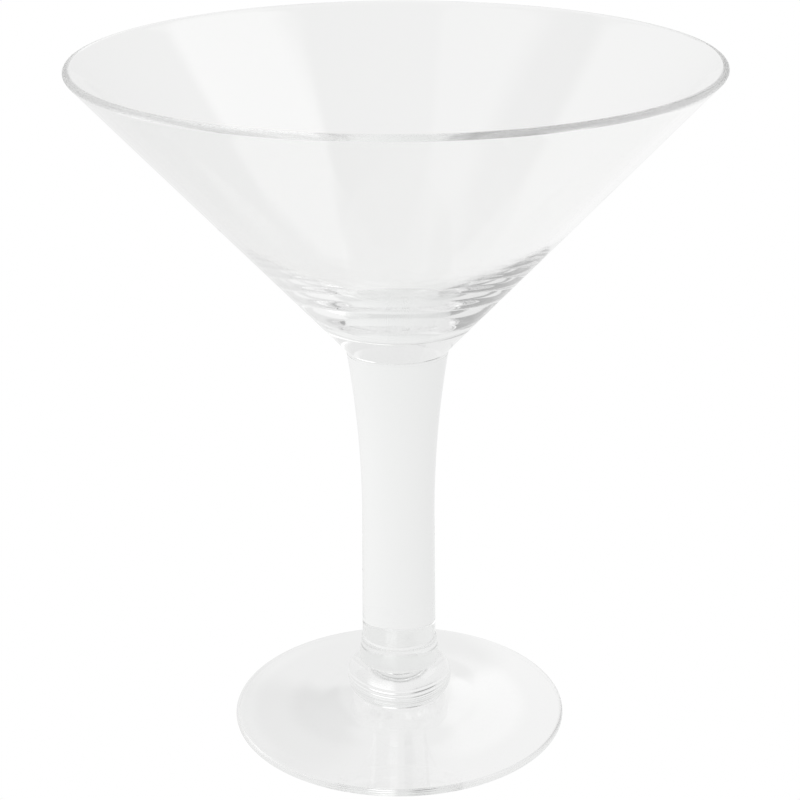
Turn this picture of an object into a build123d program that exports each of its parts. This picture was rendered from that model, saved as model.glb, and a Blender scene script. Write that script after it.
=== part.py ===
from build123d import *
import os
from math import asin, cos, pi, radians, sin, sqrt, tan

# A giant hand-made martini glass, in millimetres. +Z is up and the origin is the centre of the
# underside, so the glass stands on the plane z = 0. Every piece is turned about the Z axis, and
# each meets the next one face to face on a flat level circle, where the hot glass was fused.

# Driving dimensions
HEIGHT = 254.0             # floor to the top of the lip
LIP_RADIUS = 112.8         # outermost radius of the lip
FOOT_RADIUS = 63.0

# Levels where one piece ends and the next begins
FOOT_TOP = 9.7             # foot to knop
KNOP_TOP = 24.0            # knop to post
POST_TOP = 33.0            # post to stem
STEM_TOP = 148.0           # stem to bowl

# Foot: a thin plate with a round edge, rising in the middle above and below
FOOT_EDGE = 3.0            # thickness at the edge
FOOT_TOP_RADIUS = 17.0
FOOT_SAG = 0.75            # how far the top hangs below a straight cone, halfway
FOOT_RING_RADIUS = 58.0    # inner edge of the flat ring that the glass rests on
FOOT_HOLLOW = 5.5          # rise of the underside at the centre

# Knop: a squashed ball of glass
KNOP_RADIUS = 19.6
KNOP_WIDEST = 17.5         # height of the widest point

# Post: a short solid neck, slightly waisted, with a rounded shoulder under the stem
POST_FOOT_RADIUS = 15.2
POST_WAIST_RADIUS = 14.75
POST_TOP_RADIUS = 14.35

# Stem: a solid column that flares out under the bowl
STEM_FOOT_RADIUS = 13.9
STEM_WAIST_RADIUS = 13.5
STEM_WAIST = 85.0          # height of the waist, where the flare begins
STEM_TOP_RADIUS = 18.5

# Bowl: a straight cone with a fire-polished lip and a deep dished base of solid glass
CONE_ANGLE = 42.4          # both sides of the wall, in degrees from vertical
WALL = 2.7                 # thickness of the wall down to where it swells
BOWL_FLOOR = 163.5         # height of the lowest point inside
SWELL = 250.0              # radius of the long bend inside with which the wall starts to thicken
SWELL_ANGLE = 50.0         # slope of the inside where that bend runs into the dish, from vertical


def turned(*edges):
    """One solid of revolution about Z, from a closed outline of (radius, height) edges."""
    outline = Plane.XZ * make_face(list(edges))
    return revolve(outline, Axis.Z)


def middle(a, b, sag=0.0):
    """The point halfway between two (radius, height) points, lowered by a sag."""
    return ((a[0] + b[0]) / 2, (a[1] + b[1]) / 2 - sag)


def make_foot():
    half_edge = FOOT_EDGE / 2
    flat_radius = FOOT_RADIUS - half_edge
    edge_top = (flat_radius, FOOT_EDGE)
    knop_edge = (FOOT_TOP_RADIUS, FOOT_TOP)
    ring = (FOOT_RING_RADIUS, 0)
    # The underside is an ogee: two equal arcs, level at the ring and at the centre.
    turn = (FOOT_RING_RADIUS / 2, FOOT_HOLLOW / 2)
    crown = (0, FOOT_HOLLOW)
    bend = (turn[0] ** 2 + turn[1] ** 2) / (2 * turn[1])
    bow = bend - sqrt(bend ** 2 - (turn[0] / 2) ** 2)
    return turned(
        ThreePointArc(crown, (turn[0] / 2, FOOT_HOLLOW - bow), turn),
        ThreePointArc(turn, (turn[0] * 3 / 2, bow), ring),
        Line(ring, (flat_radius, 0)),
        ThreePointArc((flat_radius, 0), (FOOT_RADIUS, half_edge), edge_top),
        ThreePointArc(edge_top, middle(edge_top, knop_edge, FOOT_SAG), knop_edge),
        Line(knop_edge, (0, FOOT_TOP)),
        Line((0, FOOT_TOP), crown),
    )


def make_knop():
    return turned(
        Line((0, FOOT_TOP), (FOOT_TOP_RADIUS, FOOT_TOP)),
        ThreePointArc(
            (FOOT_TOP_RADIUS, FOOT_TOP),
            (KNOP_RADIUS, KNOP_WIDEST),
            (POST_FOOT_RADIUS, KNOP_TOP),
        ),
        Line((POST_FOOT_RADIUS, KNOP_TOP), (0, KNOP_TOP)),
        Line((0, KNOP_TOP), (0, FOOT_TOP)),
    )


def make_post():
    # The shoulder is a quarter round that steps in to the foot of the stem.
    step = POST_TOP_RADIUS - STEM_FOOT_RADIUS
    shoulder = POST_TOP - step
    corner = step * sqrt(0.5)
    return turned(
        Line((0, KNOP_TOP), (POST_FOOT_RADIUS, KNOP_TOP)),
        ThreePointArc(
            (POST_FOOT_RADIUS, KNOP_TOP),
            (POST_WAIST_RADIUS, (KNOP_TOP + shoulder) / 2),
            (POST_TOP_RADIUS, shoulder),
        ),
        ThreePointArc(
            (POST_TOP_RADIUS, shoulder),
            (STEM_FOOT_RADIUS + corner, shoulder + corner),
            (STEM_FOOT_RADIUS, POST_TOP),
        ),
        Line((STEM_FOOT_RADIUS, POST_TOP), (0, POST_TOP)),
        Line((0, POST_TOP), (0, KNOP_TOP)),
    )


def flare_arc():
    """Radius of the arc that leaves the waist upright and ends at the top of the stem."""
    rise = STEM_TOP - STEM_WAIST
    spread = STEM_TOP_RADIUS - STEM_WAIST_RADIUS
    return (rise ** 2 + spread ** 2) / (2 * spread)


def make_stem():
    halfway = (STEM_WAIST + STEM_TOP) / 2
    arc = flare_arc()
    halfway_radius = STEM_WAIST_RADIUS + arc - sqrt(arc ** 2 - (halfway - STEM_WAIST) ** 2)
    return turned(
        Line((0, POST_TOP), (STEM_FOOT_RADIUS, POST_TOP)),
        Line((STEM_FOOT_RADIUS, POST_TOP), (STEM_WAIST_RADIUS, STEM_WAIST)),
        ThreePointArc(
            (STEM_WAIST_RADIUS, STEM_WAIST),
            (halfway_radius, halfway),
            (STEM_TOP_RADIUS, STEM_TOP),
        ),
        Line((STEM_TOP_RADIUS, STEM_TOP), (0, STEM_TOP)),
        Line((0, STEM_TOP), (0, POST_TOP)),
    )


def make_bowl():
    # The lip is a full round across the wall; its centre follows from the two driving sizes.
    cone = radians(CONE_ANGLE)
    half = WALL / 2
    lip_r = LIP_RADIUS - half
    lip_z = HEIGHT - half
    outer_lip = (lip_r + half * cos(cone), lip_z - half * sin(cone))
    lip_tip = (lip_r + half * sin(cone), lip_z + half * cos(cone))
    inner_lip = (lip_r - half * cos(cone), lip_z + half * sin(cone))

    # A concave throat carries the flare of the stem into the cone and ends tangent to it.
    lean = asin((STEM_TOP - STEM_WAIST) / flare_arc())
    gap_r = STEM_TOP_RADIUS - outer_lip[0]
    gap_z = STEM_TOP - outer_lip[1]
    proud = gap_r * cos(cone) - gap_z * sin(cone)
    throat = proud / (1 - cos(cone - lean))
    centre_r = STEM_TOP_RADIUS + throat * cos(lean)
    centre_z = STEM_TOP - throat * sin(lean)
    halfway = (cone + lean) / 2
    throat_mid = (centre_r - throat * cos(halfway), centre_z + throat * sin(halfway))
    throat_end = (centre_r - throat * cos(cone), centre_z + throat * sin(cone))

    # Inside, the wall swells away from the cone on a long bend, which runs into a dish whose
    # centre lies on the axis. The dish's radius follows, because each is tangent to the next.
    edge = radians(SWELL_ANGLE)
    apex = inner_lip[1] - inner_lip[0] / tan(cone)
    swell_rise = SWELL * (sin(edge) - sin(cone))
    swell_spread = SWELL * (cos(cone) - cos(edge))
    reach = (BOWL_FLOOR - apex + swell_rise) * tan(cone) - swell_spread
    dish = reach / (cos(edge) - (1 - sin(edge)) * tan(cone))
    dish_centre = BOWL_FLOOR + dish
    dish_edge = (dish * cos(edge), dish_centre - dish * sin(edge))
    steep = (pi / 2 + edge) / 2
    dish_mid = (dish * cos(steep), dish_centre - dish * sin(steep))
    bend_r = dish_edge[0] - SWELL * cos(edge)
    bend_z = dish_edge[1] + SWELL * sin(edge)
    between = (cone + edge) / 2
    swell_mid = (bend_r + SWELL * cos(between), bend_z - SWELL * sin(between))
    swell_top = (bend_r + SWELL * cos(cone), bend_z - SWELL * sin(cone))
    return turned(
        Line((0, STEM_TOP), (STEM_TOP_RADIUS, STEM_TOP)),
        ThreePointArc((STEM_TOP_RADIUS, STEM_TOP), throat_mid, throat_end),
        Line(throat_end, outer_lip),
        ThreePointArc(outer_lip, lip_tip, inner_lip),
        Line(inner_lip, swell_top),
        ThreePointArc(swell_top, swell_mid, dish_edge),
        ThreePointArc(dish_edge, dish_mid, (0, BOWL_FLOOR)),
        Line((0, BOWL_FLOOR), (0, STEM_TOP)),
    )


pieces = {
    "foot": make_foot(),
    "knop": make_knop(),
    "post": make_post(),
    "stem": make_stem(),
    "bowl": make_bowl(),
}

os.makedirs("parts", exist_ok=True)
for name, piece in pieces.items():
    export_step(piece, f"parts/{name}.step")
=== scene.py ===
from math import asin, atan2, cos, hypot, pi, radians, sin, sqrt, tan

import bmesh
import bpy
from mathutils import Matrix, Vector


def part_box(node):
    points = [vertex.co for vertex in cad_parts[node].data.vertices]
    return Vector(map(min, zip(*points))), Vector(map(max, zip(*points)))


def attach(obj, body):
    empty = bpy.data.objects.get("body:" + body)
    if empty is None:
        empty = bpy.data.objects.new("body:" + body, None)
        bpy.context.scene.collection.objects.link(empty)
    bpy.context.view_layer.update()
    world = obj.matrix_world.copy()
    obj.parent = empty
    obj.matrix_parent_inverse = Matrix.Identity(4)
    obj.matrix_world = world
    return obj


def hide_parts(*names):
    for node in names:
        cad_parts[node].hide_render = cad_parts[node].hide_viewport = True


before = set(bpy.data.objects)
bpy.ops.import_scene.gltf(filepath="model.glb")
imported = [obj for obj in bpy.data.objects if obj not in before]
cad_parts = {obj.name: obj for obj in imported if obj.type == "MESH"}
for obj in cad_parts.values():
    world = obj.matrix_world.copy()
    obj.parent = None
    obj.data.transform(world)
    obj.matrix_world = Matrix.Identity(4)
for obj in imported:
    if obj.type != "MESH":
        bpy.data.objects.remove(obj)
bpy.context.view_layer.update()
scene = bpy.context.scene


# ---------------------------------------------------------------- foot
# The foot is a thin plate of clear glass, spun out flat while soft. Its edge is fire-polished to a
# full round, the middle rises into a low hollow cone, and it stands on a narrow ring that was
# ground level. The knop is fused to its centre.

MM = 0.001
foot_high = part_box("foot")[1]

FOOT_RADIUS = foot_high.x
FOOT_TOP = foot_high.z
FOOT_EDGE = 3.0 * MM
FOOT_TOP_RADIUS = 17.0 * MM
FOOT_SAG = 0.75 * MM
FOOT_RING_RADIUS = 58.0 * MM
FOOT_HOLLOW = 5.5 * MM

TURNS = 384                # flat facets round the axis, fine enough not to show in the refraction
LATHE_RIPPLE = 0.0011      # share of the radius by which hand-spun glass runs out of true
RIPPLE_SIZE = 34.0         # ripples per metre
RIPPLE_SEED = 7.3
SEAM_CLOSED = 0.000001     # metres within which the points at the seam and the poles are merged
LEVEL_FOUND = 0.0000005    # metres within which a face counts as lying at a joint's level


def straight(start, end, steps=1):
    """Points of a straight stretch of outline, without its first one."""
    return [
        (start[0] + (end[0] - start[0]) * k / steps, start[1] + (end[1] - start[1]) * k / steps)
        for k in range(1, steps + 1)
    ]


def round_through(start, through, end, steps):
    """Points of a round stretch of outline through three points, without its first one."""
    ax, ay, bx, by, cx, cy = *start, *through, *end
    twice = 2 * (ax * (by - cy) + bx * (cy - ay) + cx * (ay - by))
    a2, b2, c2 = ax * ax + ay * ay, bx * bx + by * by, cx * cx + cy * cy
    ox = (a2 * (by - cy) + b2 * (cy - ay) + c2 * (ay - by)) / twice
    oy = (a2 * (cx - bx) + b2 * (ax - cx) + c2 * (bx - ax)) / twice
    size = hypot(ax - ox, ay - oy)
    first = atan2(ay - oy, ax - ox)
    last = atan2(cy - oy, cx - ox)
    side = (bx - ax) * (cy - ay) - (by - ay) * (cx - ax)
    if side > 0 and last < first:
        last += 2 * pi
    if side < 0 and last > first:
        last -= 2 * pi
    angles = [first + (last - first) * k / steps for k in range(1, steps)]
    return [(ox + size * cos(a), oy + size * sin(a)) for a in angles] + [end]


def between(a, b, sag=0.0):
    """The point halfway between two outline points, lowered by a sag."""
    return ((a[0] + b[0]) / 2, (a[1] + b[1]) / 2 - sag)


def make_lathe():
    """Geometry Nodes tree that turns an outline of (radius, 0, height) points about the Z axis."""
    tree = bpy.data.node_groups.new("glass_lathe", "GeometryNodeTree")
    faces = tree.interface
    faces.new_socket("Geometry", in_out="INPUT", socket_type="NodeSocketGeometry")
    faces.new_socket("Outline", in_out="INPUT", socket_type="NodeSocketObject")
    faces.new_socket("Turns", in_out="INPUT", socket_type="NodeSocketInt")
    faces.new_socket("Ripple", in_out="INPUT", socket_type="NodeSocketFloat")
    faces.new_socket("Ripple Size", in_out="INPUT", socket_type="NodeSocketFloat")
    faces.new_socket("Ripple Seed", in_out="INPUT", socket_type="NodeSocketFloat")
    faces.new_socket("Lower Joint", in_out="INPUT", socket_type="NodeSocketFloat")
    faces.new_socket("Upper Joint", in_out="INPUT", socket_type="NodeSocketFloat")
    faces.new_socket("Glass", in_out="INPUT", socket_type="NodeSocketMaterial")
    faces.new_socket("Fused Joint", in_out="INPUT", socket_type="NodeSocketMaterial")
    faces.new_socket("Geometry", in_out="OUTPUT", socket_type="NodeSocketGeometry")

    def node(kind, **settings):
        made = tree.nodes.new(kind)
        for name, value in settings.items():
            setattr(made, name, value)
        return made

    def wire(source, target):
        tree.links.new(source, target)

    def sums(operation, *values):
        made = node("ShaderNodeMath", operation=operation)
        for socket, value in zip(made.inputs, values):
            if isinstance(value, (int, float)):
                socket.default_value = value
            else:
                wire(value, socket)
        return made.outputs[0]

    given = node("NodeGroupInput").outputs
    result = node("NodeGroupOutput").inputs

    # A grid with one column per turn and one row per outline point is wrapped round the axis.
    outline = node("GeometryNodeObjectInfo")
    wire(given["Outline"], outline.inputs["Object"])
    count = node("GeometryNodeAttributeDomainSize", component="CURVE")
    wire(outline.outputs["Geometry"], count.inputs["Geometry"])
    points = count.outputs["Point Count"]
    grid = node("GeometryNodeMeshGrid")
    grid.inputs["Size X"].default_value = 1.0
    grid.inputs["Size Y"].default_value = 1.0
    wire(sums("ADD", given["Turns"], 1), grid.inputs["Vertices X"])
    wire(points, grid.inputs["Vertices Y"])
    place = node("ShaderNodeSeparateXYZ")
    wire(node("GeometryNodeInputPosition").outputs[0], place.inputs[0])
    angle = sums("MULTIPLY", sums("ADD", place.outputs["X"], 0.5), 2 * pi)
    row = sums("ROUND", sums("MULTIPLY", sums("ADD", place.outputs["Y"], 0.5), sums("SUBTRACT", points, 1)))
    sample = node("GeometryNodeSampleIndex", data_type="FLOAT_VECTOR", domain="POINT")
    wire(outline.outputs["Geometry"], sample.inputs["Geometry"])
    wire(node("GeometryNodeInputPosition").outputs[0], sample.inputs["Value"])
    wire(row, sample.inputs["Index"])
    profile = node("ShaderNodeSeparateXYZ")
    wire(sample.outputs[0], profile.inputs[0])
    true_round = node("ShaderNodeCombineXYZ")
    wire(sums("MULTIPLY", profile.outputs["X"], sums("COSINE", angle)), true_round.inputs["X"])
    wire(sums("MULTIPLY", profile.outputs["X"], sums("SINE", angle)), true_round.inputs["Y"])
    wire(profile.outputs["Z"], true_round.inputs["Z"])

    # Hand-spun glass is never quite true: a slow noise draws the radius in a little.
    noise = node("ShaderNodeTexNoise", noise_dimensions="4D")
    noise.inputs["Detail"].default_value = 0.0
    wire(true_round.outputs[0], noise.inputs["Vector"])
    wire(given["Ripple Seed"], noise.inputs["W"])
    wire(given["Ripple Size"], noise.inputs["Scale"])
    drawn_in = sums("SUBTRACT", 1.0, sums("MULTIPLY", noise.outputs[0], given["Ripple"]))
    squeeze = node("ShaderNodeCombineXYZ")
    wire(drawn_in, squeeze.inputs["X"])
    wire(drawn_in, squeeze.inputs["Y"])
    squeeze.inputs["Z"].default_value = 1.0
    blown = node("ShaderNodeVectorMath", operation="MULTIPLY")
    wire(true_round.outputs[0], blown.inputs[0])
    wire(squeeze.outputs[0], blown.inputs[1])
    shaped = node("GeometryNodeSetPosition")
    wire(grid.outputs["Mesh"], shaped.inputs["Geometry"])
    wire(blown.outputs[0], shaped.inputs["Position"])
    closed = node("GeometryNodeMergeByDistance")
    closed.inputs["Distance"].default_value = SEAM_CLOSED
    wire(shaped.outputs[0], closed.inputs["Geometry"])

    # The level faces where this piece is fused to its neighbours stay flat and get their own material.
    height = node("ShaderNodeSeparateXYZ")
    wire(node("GeometryNodeInputPosition").outputs[0], height.inputs[0])
    near_low = sums("COMPARE", height.outputs["Z"], given["Lower Joint"], LEVEL_FOUND)
    near_high = sums("COMPARE", height.outputs["Z"], given["Upper Joint"], LEVEL_FOUND)
    at_joint = sums("MAXIMUM", near_low, near_high)
    smooth = node("GeometryNodeSetShadeSmooth", domain="FACE")
    wire(closed.outputs[0], smooth.inputs["Geometry"])
    wire(sums("LESS_THAN", at_joint, 0.5), smooth.inputs["Shade Smooth"])
    real = node("GeometryNodeRealizeInstances")
    wire(smooth.outputs[0], real.inputs[0])
    walls = node("GeometryNodeSetMaterial")
    wire(real.outputs[0], walls.inputs["Geometry"])
    wire(given["Glass"], walls.inputs["Material"])
    joints = node("GeometryNodeSetMaterial")
    wire(walls.outputs[0], joints.inputs["Geometry"])
    wire(at_joint, joints.inputs["Selection"])
    wire(given["Fused Joint"], joints.inputs["Material"])
    wire(joints.outputs[0], result["Geometry"])
    return tree


lathe = make_lathe()


def turn(name, outline, glass, joint, lower=-1.0, upper=-1.0):
    """A closed mesh turned from an outline that starts and ends on the axis. Joints are levels in metres."""
    line = bpy.data.curves.new(name + "_outline", "CURVE")
    line.dimensions = "3D"
    spline = line.splines.new("POLY")
    spline.points.add(len(outline) - 1)
    for point, (radius, height) in zip(spline.points, outline):
        point.co = (radius, 0.0, height, 1.0)
    guide = bpy.data.objects.new(name + "_outline", line)
    blank = bpy.data.objects.new(name + "_blank", bpy.data.meshes.new(name + "_blank"))
    scene.collection.objects.link(guide)
    scene.collection.objects.link(blank)
    modifier = blank.modifiers.new("lathe", "NODES")
    modifier.node_group = lathe
    wanted = {
        "Outline": guide,
        "Turns": TURNS,
        "Ripple": LATHE_RIPPLE,
        "Ripple Size": RIPPLE_SIZE,
        "Ripple Seed": RIPPLE_SEED,
        "Lower Joint": lower,
        "Upper Joint": upper,
        "Glass": glass,
        "Fused Joint": joint,
    }
    for item in lathe.interface.items_tree:
        if item.in_out == "INPUT" and item.name in wanted:
            modifier[item.identifier] = wanted[item.name]
    bpy.context.view_layer.update()
    shown = blank.evaluated_get(bpy.context.evaluated_depsgraph_get())
    mesh = bpy.data.meshes.new_from_object(shown)
    mesh.name = name
    bpy.data.objects.remove(blank)
    bpy.data.objects.remove(guide)
    work = bmesh.new()
    work.from_mesh(mesh)
    bmesh.ops.recalc_face_normals(work, faces=work.faces)
    work.to_mesh(mesh)
    work.free()
    piece = bpy.data.objects.new(name, mesh)
    scene.collection.objects.link(piece)
    return piece


CORD_DETAIL = 2.0
CORD_ROUGHNESS = 0.4


def make_cords():
    """Shader group for the faint cords, or streaks, that gathering and turning leave in hand-made glass."""
    group = bpy.data.node_groups.new("glass_cords", "ShaderNodeTree")
    faces = group.interface
    faces.new_socket("Around", in_out="INPUT", socket_type="NodeSocketFloat")
    faces.new_socket("Along", in_out="INPUT", socket_type="NodeSocketFloat")
    faces.new_socket("Swirl", in_out="INPUT", socket_type="NodeSocketFloat")
    faces.new_socket("Height", in_out="OUTPUT", socket_type="NodeSocketFloat")
    given = group.nodes.new("NodeGroupInput").outputs
    result = group.nodes.new("NodeGroupOutput").inputs
    place = group.nodes.new("ShaderNodeTexCoord")
    scales = group.nodes.new("ShaderNodeCombineXYZ")
    group.links.new(given["Around"], scales.inputs["X"])
    group.links.new(given["Around"], scales.inputs["Y"])
    group.links.new(given["Along"], scales.inputs["Z"])
    stretch = group.nodes.new("ShaderNodeVectorMath")
    stretch.operation = "MULTIPLY"
    group.links.new(place.outputs["Object"], stretch.inputs[0])
    group.links.new(scales.outputs[0], stretch.inputs[1])
    cords = group.nodes.new("ShaderNodeTexNoise")
    cords.inputs["Scale"].default_value = 1.0
    cords.inputs["Detail"].default_value = CORD_DETAIL
    cords.inputs["Roughness"].default_value = CORD_ROUGHNESS
    group.links.new(stretch.outputs[0], cords.inputs["Vector"])
    group.links.new(given["Swirl"], cords.inputs["Distortion"])
    group.links.new(cords.outputs[0], result["Height"])
    return group


cords = make_cords()

FACE_COLOUR = (0.990, 0.991, 0.988, 1.0)     # one surface of clear glass
DEEP_COLOUR = (0.805, 0.825, 0.812, 1.0)     # the green-grey of a long path through it
DEEP_PATH = 0.060                            # length of path that takes on the deep colour
GLASS_IOR = 1.52


def clear_glass(name, around, along, swirl, cord_height):
    """Clear soda glass: sharp, faintly green where it is thick, with cords of the sizes given."""
    material = bpy.data.materials.new(name)
    material.use_nodes = True
    nodes, links = material.node_tree.nodes, material.node_tree.links
    glass = nodes["Principled BSDF"]
    glass.inputs["Metallic"].default_value = 0.0
    glass.inputs["Transmission Weight"].default_value = 1.0
    glass.inputs["IOR"].default_value = GLASS_IOR
    glass.inputs["Roughness"].default_value = 0.0

    # Inside the glass, the path since the last surface sets how deep the colour is.
    path = nodes.new("ShaderNodeLightPath")
    side = nodes.new("ShaderNodeNewGeometry")
    depth = nodes.new("ShaderNodeMapRange")
    depth.inputs["From Max"].default_value = DEEP_PATH
    links.new(path.outputs["Ray Length"], depth.inputs["Value"])
    inside = nodes.new("ShaderNodeMath")
    inside.operation = "MULTIPLY"
    links.new(depth.outputs[0], inside.inputs[0])
    links.new(side.outputs["Backfacing"], inside.inputs[1])
    tint = nodes.new("ShaderNodeMix")
    tint.data_type = "RGBA"
    tint.inputs["A"].default_value = FACE_COLOUR
    tint.inputs["B"].default_value = DEEP_COLOUR
    links.new(inside.outputs[0], tint.inputs["Factor"])
    links.new(tint.outputs["Result"], glass.inputs["Base Color"])

    streaks = nodes.new("ShaderNodeGroup")
    streaks.node_tree = cords
    streaks.inputs["Around"].default_value = around
    streaks.inputs["Along"].default_value = along
    streaks.inputs["Swirl"].default_value = swirl
    bump = nodes.new("ShaderNodeBump")
    bump.inputs["Strength"].default_value = 1.0
    bump.inputs["Distance"].default_value = cord_height
    links.new(streaks.outputs["Height"], bump.inputs["Height"])
    links.new(bump.outputs["Normal"], glass.inputs["Normal"])
    return material


def fused_joint():
    """Where two gathers of glass are fused there is no surface left to see, so light goes straight on."""
    material = bpy.data.materials.new("fused_joint")
    material.use_nodes = True
    nodes, links = material.node_tree.nodes, material.node_tree.links
    nodes.remove(nodes["Principled BSDF"])
    clear = nodes.new("ShaderNodeBsdfTransparent")
    links.new(clear.outputs[0], nodes["Material Output"].inputs["Surface"])
    return material


joint_glass = fused_joint()
foot_glass = clear_glass("foot_glass", around=30.0, along=30.0, swirl=0.6, cord_height=0.00002)

foot_flat = FOOT_RADIUS - FOOT_EDGE / 2
foot_ring = (FOOT_RING_RADIUS, 0.0)
foot_turn = (FOOT_RING_RADIUS / 2, FOOT_HOLLOW / 2)
foot_bend = (foot_turn[0] ** 2 + foot_turn[1] ** 2) / (2 * foot_turn[1])
foot_bow = foot_bend - sqrt(foot_bend ** 2 - (foot_turn[0] / 2) ** 2)
foot_crown = (0.0, FOOT_HOLLOW)
foot_edge_top = (foot_flat, FOOT_EDGE)
foot_knop_edge = (FOOT_TOP_RADIUS, FOOT_TOP)
foot_outline = [
    foot_crown,
    *round_through(foot_crown, (foot_turn[0] / 2, FOOT_HOLLOW - foot_bow), foot_turn, 40),
    *round_through(foot_turn, (foot_turn[0] * 3 / 2, foot_bow), foot_ring, 40),
    *straight(foot_ring, (foot_flat, 0.0), 3),
    *round_through((foot_flat, 0.0), (FOOT_RADIUS, FOOT_EDGE / 2), foot_edge_top, 32),
    *round_through(foot_edge_top, between(foot_edge_top, foot_knop_edge, FOOT_SAG), foot_knop_edge, 60),
    (0.0, FOOT_TOP),
]
foot = turn("foot_plate", foot_outline, foot_glass, joint_glass, upper=FOOT_TOP)
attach(foot, "root")
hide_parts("foot")


# ---------------------------------------------------------------- knop
# The knop is a solid gather of glass pressed down into a collar. It is fused to the foot below and
# to the post above, and the soft glass bulged out between them.

knop_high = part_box("knop")[1]
KNOP_TOP = knop_high.z
KNOP_RADIUS = knop_high.x
KNOP_WIDEST = 17.5 * MM
KNOP_TOP_RADIUS = 15.2 * MM

knop_glass = clear_glass("knop_glass", around=60.0, along=60.0, swirl=1.0, cord_height=0.00003)
knop_top_edge = (KNOP_TOP_RADIUS, KNOP_TOP)
knop_outline = [
    (0.0, FOOT_TOP),
    foot_knop_edge,
    *round_through(foot_knop_edge, (KNOP_RADIUS, KNOP_WIDEST), knop_top_edge, 120),
    (0.0, KNOP_TOP),
]
knop = turn("knop_collar", knop_outline, knop_glass, joint_glass, lower=FOOT_TOP, upper=KNOP_TOP)
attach(knop, "root")
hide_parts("knop")


# ---------------------------------------------------------------- post
# The post is the short solid neck that carries the stem. Its rounded shoulder stands a little
# proud of the stem, which leaves the ring seen round the joint.

post_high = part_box("post")[1]
POST_TOP = post_high.z
POST_WAIST_RADIUS = 14.75 * MM
POST_TOP_RADIUS = 14.35 * MM
STEM_FOOT_RADIUS = 13.9 * MM

post_glass = clear_glass("post_glass", around=60.0, along=40.0, swirl=0.6, cord_height=0.00002)
post_step = POST_TOP_RADIUS - STEM_FOOT_RADIUS
post_shoulder = (POST_TOP_RADIUS, POST_TOP - post_step)
post_corner = post_step * sqrt(0.5)
post_waist = (POST_WAIST_RADIUS, (KNOP_TOP + post_shoulder[1]) / 2)
post_rounding = (STEM_FOOT_RADIUS + post_corner, post_shoulder[1] + post_corner)
post_outline = [
    (0.0, KNOP_TOP),
    knop_top_edge,
    *round_through(knop_top_edge, post_waist, post_shoulder, 48),
    *round_through(post_shoulder, post_rounding, (STEM_FOOT_RADIUS, POST_TOP), 16),
    (0.0, POST_TOP),
]
post = turn("stem_post", post_outline, post_glass, joint_glass, lower=KNOP_TOP, upper=POST_TOP)
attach(post, "root")
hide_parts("post")


# ---------------------------------------------------------------- stem
# The stem is a thick solid column, drawn down from the bowl while hot, so that it is waisted in
# the middle and flares out where it carries the bowl.

stem_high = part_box("stem")[1]
STEM_TOP = stem_high.z
STEM_TOP_RADIUS = stem_high.x
STEM_WAIST = 85.0 * MM
STEM_WAIST_RADIUS = 13.5 * MM

stem_glass = clear_glass("stem_glass", around=90.0, along=12.0, swirl=0.2, cord_height=0.00002)
stem_spread = STEM_TOP_RADIUS - STEM_WAIST_RADIUS
stem_arc = ((STEM_TOP - STEM_WAIST) ** 2 + stem_spread ** 2) / (2 * stem_spread)
stem_half = (STEM_TOP - STEM_WAIST) / 2
stem_half_radius = STEM_WAIST_RADIUS + stem_arc - sqrt(stem_arc ** 2 - stem_half ** 2)
stem_foot = (STEM_FOOT_RADIUS, POST_TOP)
stem_waist = (STEM_WAIST_RADIUS, STEM_WAIST)
stem_top = (STEM_TOP_RADIUS, STEM_TOP)
stem_outline = [
    (0.0, POST_TOP),
    stem_foot,
    *straight(stem_foot, stem_waist, 40),
    *round_through(stem_waist, (stem_half_radius, STEM_WAIST + stem_half), stem_top, 110),
    (0.0, STEM_TOP),
]
stem = turn("stem_column", stem_outline, stem_glass, joint_glass, lower=POST_TOP, upper=STEM_TOP)
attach(stem, "root")
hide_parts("stem")


# ---------------------------------------------------------------- bowl
# The bowl is blown and spun into a straight cone. Its wall swells towards a deep dished base of
# solid glass, and the cut lip was melted to a full round in the flame.

bowl_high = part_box("bowl")[1]
HEIGHT = bowl_high.z
LIP_RADIUS = min(bowl_high.x, bowl_high.y)
CONE_ANGLE = radians(42.4)
WALL = 2.7 * MM
BOWL_FLOOR = 163.5 * MM
SWELL = 250.0 * MM         # radius of the long bend with which the wall starts to thicken
SWELL_ANGLE = radians(50.0)

bowl_glass = clear_glass("bowl_glass", around=18.0, along=46.0, swirl=0.8, cord_height=0.00003)
lip_half = WALL / 2
lip_centre = (LIP_RADIUS - lip_half, HEIGHT - lip_half)
outer_lip = (lip_centre[0] + lip_half * cos(CONE_ANGLE), lip_centre[1] - lip_half * sin(CONE_ANGLE))
lip_tip = (lip_centre[0] + lip_half * sin(CONE_ANGLE), lip_centre[1] + lip_half * cos(CONE_ANGLE))
inner_lip = (lip_centre[0] - lip_half * cos(CONE_ANGLE), lip_centre[1] + lip_half * sin(CONE_ANGLE))

# The throat is the concave round that carries the flare of the stem into the cone.
flare_lean = asin((STEM_TOP - STEM_WAIST) / stem_arc)
lip_reach = STEM_TOP_RADIUS - outer_lip[0]
lip_rise = STEM_TOP - outer_lip[1]
throat_proud = lip_reach * cos(CONE_ANGLE) - lip_rise * sin(CONE_ANGLE)
throat = throat_proud / (1 - cos(CONE_ANGLE - flare_lean))
throat_centre = (STEM_TOP_RADIUS + throat * cos(flare_lean), STEM_TOP - throat * sin(flare_lean))


def on_throat(angle):
    return (throat_centre[0] - throat * cos(angle), throat_centre[1] + throat * sin(angle))


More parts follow.
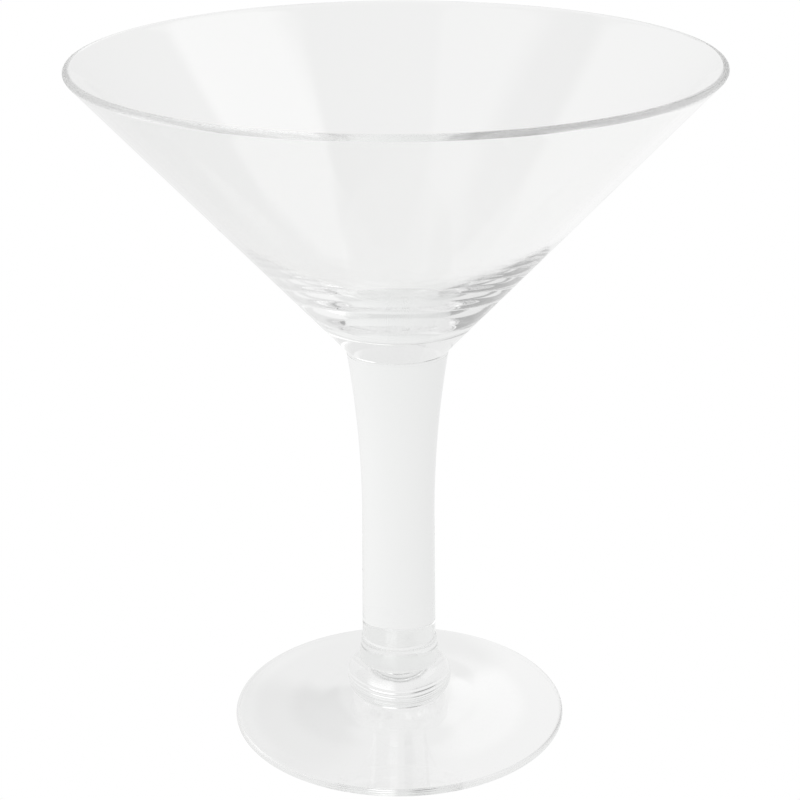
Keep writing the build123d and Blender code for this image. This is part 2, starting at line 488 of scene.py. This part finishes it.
# Inside, the wall swells away from the cone on a long bend, and then rounds into the dish at the
# bottom, which has its centre on the axis.
lean = tan(CONE_ANGLE)
cone_apex = inner_lip[1] - inner_lip[0] / lean
swell_rise = SWELL * (sin(SWELL_ANGLE) - sin(CONE_ANGLE))
swell_spread = SWELL * (cos(CONE_ANGLE) - cos(SWELL_ANGLE))
dish_reach = (BOWL_FLOOR - cone_apex + swell_rise) * lean - swell_spread
dish = dish_reach / (cos(SWELL_ANGLE) - (1 - sin(SWELL_ANGLE)) * lean)


def on_dish(angle):
    return (dish * cos(angle), BOWL_FLOOR + dish - dish * sin(angle))


dish_edge = on_dish(SWELL_ANGLE)
swell_centre = (dish_edge[0] - SWELL * cos(SWELL_ANGLE), dish_edge[1] + SWELL * sin(SWELL_ANGLE))


def on_swell(angle):
    return (swell_centre[0] + SWELL * cos(angle), swell_centre[1] - SWELL * sin(angle))


throat_end = on_throat(CONE_ANGLE)
swell_top = on_swell(CONE_ANGLE)
bowl_outline = [
    (0.0, STEM_TOP),
    stem_top,
    *round_through(stem_top, on_throat((CONE_ANGLE + flare_lean) / 2), throat_end, 48),
    *straight(throat_end, outer_lip, 36),
    *round_through(outer_lip, lip_tip, inner_lip, 32),
    *straight(inner_lip, swell_top, 24),
    *round_through(swell_top, on_swell((CONE_ANGLE + SWELL_ANGLE) / 2), dish_edge, 36),
    *round_through(dish_edge, on_dish((pi / 2 + SWELL_ANGLE) / 2), (0.0, BOWL_FLOOR), 60),
]
bowl = turn("bowl_cone", bowl_outline, bowl_glass, joint_glass, lower=STEM_TOP)
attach(bowl, "root")
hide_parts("bowl")


# ---------------------------------------------------------------- studio
# The glass stands on a white table in soft light that comes evenly from all round, with a broad
# soft box to the right and a narrow one behind. Two dark cards, and the dimmer side behind the camera,
# give the clear glass something to show its shape by. The table is no lamp but glows, and its glow is
# painted light: plain white where it is seen directly, dimmer where the glass shows it, and brighter
# towards the broad soft box outside the foot.

TABLE_RADIUS = 60.0
TABLE_SEGMENTS = 96
TABLE_GAP = 0.0004         # keeps the table just clear of the ground ring
TABLE_SEEN = 1.0           # brightness of the table where it is seen directly: plain white
TABLE_IN_GLASS = 0.88      # painted light: brightness of the table's glow where the glass shows it, below the plain white seen directly
TABLE_PAINTED_LIGHT_SLOPE = 0.10         # painted light: how much brighter the table's glow is made towards the broad soft box
TABLE_LIGHT_SIDE = 70.0    # degrees clockwise from the far side

STUDIO_LIGHT = 0.82        # brightness of the even light


class Bearing:
    """Shader nodes that tell where a direction or a place lies, in degrees round and above the glass."""

    def __init__(self, tree, vector):
        self.nodes, self.links = tree.nodes, tree.links
        length = self.nodes.new("ShaderNodeVectorMath")
        length.operation = "NORMALIZE"
        self.links.new(vector, length.inputs[0])
        parts = self.nodes.new("ShaderNodeSeparateXYZ")
        self.links.new(length.outputs[0], parts.inputs[0])
        self.azimuth = self.maths("DEGREES", self.maths("ARCTAN2", parts.outputs["X"], parts.outputs["Y"]))
        self.elevation = self.maths("DEGREES", self.maths("ARCSINE", parts.outputs["Z"]))

    def maths(self, operation, *values):
        node = self.nodes.new("ShaderNodeMath")
        node.operation = operation
        for socket, value in zip(node.inputs, values):
            if isinstance(value, (int, float)):
                socket.default_value = value
            else:
                self.links.new(value, socket)
        return node.outputs[0]

    def inside(self, value, middle, width, softness):
        """1 within the width about the middle, falling softly to 0 outside it."""
        away = self.maths("WRAP", self.maths("SUBTRACT", value, middle), -180.0, 180.0)
        fade = self.nodes.new("ShaderNodeMapRange")
        fade.interpolation_type = "SMOOTHSTEP"
        fade.inputs["From Min"].default_value = (width - softness) / 2
        fade.inputs["From Max"].default_value = (width + softness) / 2
        fade.inputs["To Min"].default_value = 1.0
        fade.inputs["To Max"].default_value = 0.0
        self.links.new(self.maths("ABSOLUTE", away), fade.inputs["Value"])
        return fade.outputs[0]

    def panel(self, light, added, side, up, width, height, softness):
        """The light so far, with some added by a soft box or taken away by a dark card."""
        across = self.inside(self.azimuth, side, width, softness)
        upward = self.inside(self.elevation, up, height, softness)
        return self.maths("MULTIPLY_ADD", self.maths("MULTIPLY", across, upward), added, light)


world = bpy.data.worlds.new("studio")
scene.world = world
world.use_nodes = True
room = world.node_tree
look = Bearing(room, room.nodes.new("ShaderNodeTexCoord").outputs["Generated"])
broad_box = look.panel(STUDIO_LIGHT, 0.6, side=85, up=48, width=54, height=32, softness=6)
narrow_box = look.panel(broad_box, 0.5, side=10, up=32, width=14, height=26, softness=5)
small_card = look.panel(narrow_box, -0.5, side=-15, up=35, width=15, height=22, softness=6)
large_card = look.panel(small_card, -0.5, side=-100, up=30, width=70, height=56, softness=8)
behind_camera = look.panel(large_card, -0.25, side=165, up=64, width=106, height=44, softness=10)
room.links.new(behind_camera, room.nodes["Background"].inputs["Strength"])
room.nodes["Background"].inputs["Color"].default_value = (1.0, 1.0, 1.0, 1.0)

table_mesh = bpy.data.meshes.new("table")
work = bmesh.new()
bmesh.ops.create_circle(work, cap_ends=True, segments=TABLE_SEGMENTS, radius=TABLE_RADIUS)
work.to_mesh(table_mesh)
work.free()
table_mesh.transform(Matrix.Translation((0.0, 0.0, -TABLE_GAP)))
table = bpy.data.objects.new("table", table_mesh)
scene.collection.objects.link(table)
table_painted_glow = bpy.data.materials.new("table_painted_glow")
table_painted_glow.use_nodes = True
tabletop = table_painted_glow.node_tree
tabletop.nodes.remove(tabletop.nodes["Principled BSDF"])
place = tabletop.nodes.new("ShaderNodeTexCoord").outputs["Object"]
spot = Bearing(tabletop, place)
distance = tabletop.nodes.new("ShaderNodeVectorMath")
distance.operation = "LENGTH"
tabletop.links.new(place, distance.inputs[0])
# Painted light: the table's glow is made brighter towards the broad soft box. This slope stops at the foot's
# edge, so under the foot the table glows at the plain in-glass level.
turned = spot.maths("RADIANS", spot.maths("SUBTRACT", spot.azimuth, TABLE_LIGHT_SIDE))
painted_light_slope = spot.maths("MULTIPLY", spot.maths("COSINE", turned), TABLE_PAINTED_LIGHT_SLOPE)
beyond_foot = spot.maths("GREATER_THAN", distance.outputs["Value"], FOOT_RADIUS)
in_glass = spot.maths("MULTIPLY_ADD", painted_light_slope, beyond_foot, TABLE_IN_GLASS)
# Painted light: the table is no lamp but glows, plain white to the camera and dimmer where the glass shows
# it.
seen = tabletop.nodes.new("ShaderNodeMix")
tabletop.links.new(tabletop.nodes.new("ShaderNodeLightPath").outputs["Is Camera Ray"], seen.inputs["Factor"])
tabletop.links.new(in_glass, seen.inputs["A"])
seen.inputs["B"].default_value = TABLE_SEEN
glow = tabletop.nodes.new("ShaderNodeEmission")
glow.inputs["Color"].default_value = (1.0, 1.0, 1.0, 1.0)
tabletop.links.new(seen.outputs["Result"], glow.inputs["Strength"])
tabletop.links.new(glow.outputs[0], tabletop.nodes["Material Output"].inputs["Surface"])
table_painted_glow.cycles.emission_sampling = "NONE"
table_mesh.materials.append(table_painted_glow)

CAMERA_LENS = 88.94
SENSOR_WIDTH = 36.0
CLIP_START = 0.01
CLIP_END = 200.0
CAMERA_DISTANCE = 0.67114
CAMERA_HEIGHT = 0.38903
CAMERA_PITCH = radians(21.2175)
CAMERA_ROLL = radians(-0.3035)
CAMERA_YAW = radians(0.07)

camera_data = bpy.data.cameras.new("camera")
camera_data.lens = CAMERA_LENS
camera_data.sensor_width = SENSOR_WIDTH
camera_data.clip_start = CLIP_START
camera_data.clip_end = CLIP_END
camera = bpy.data.objects.new("camera", camera_data)
scene.collection.objects.link(camera)
camera.matrix_world = (
    Matrix.Translation((0.0, -CAMERA_DISTANCE, CAMERA_HEIGHT))
    @ Matrix.Rotation(-CAMERA_YAW, 4, "Z")
    @ Matrix.Rotation(pi / 2 - CAMERA_PITCH, 4, "X")
    @ Matrix.Rotation(CAMERA_ROLL, 4, "Z")
)
scene.camera = camera

# Light is trapped for many turns in the lip and the edges, which come out black if it is cut short.
GLASS_BOUNCES = 256
JOINT_BOUNCES = 64
scene.view_settings.view_transform = "Standard"
scene.cycles.max_bounces = GLASS_BOUNCES
scene.cycles.transmission_bounces = GLASS_BOUNCES
scene.cycles.glossy_bounces = GLASS_BOUNCES
scene.cycles.transparent_max_bounces = JOINT_BOUNCES
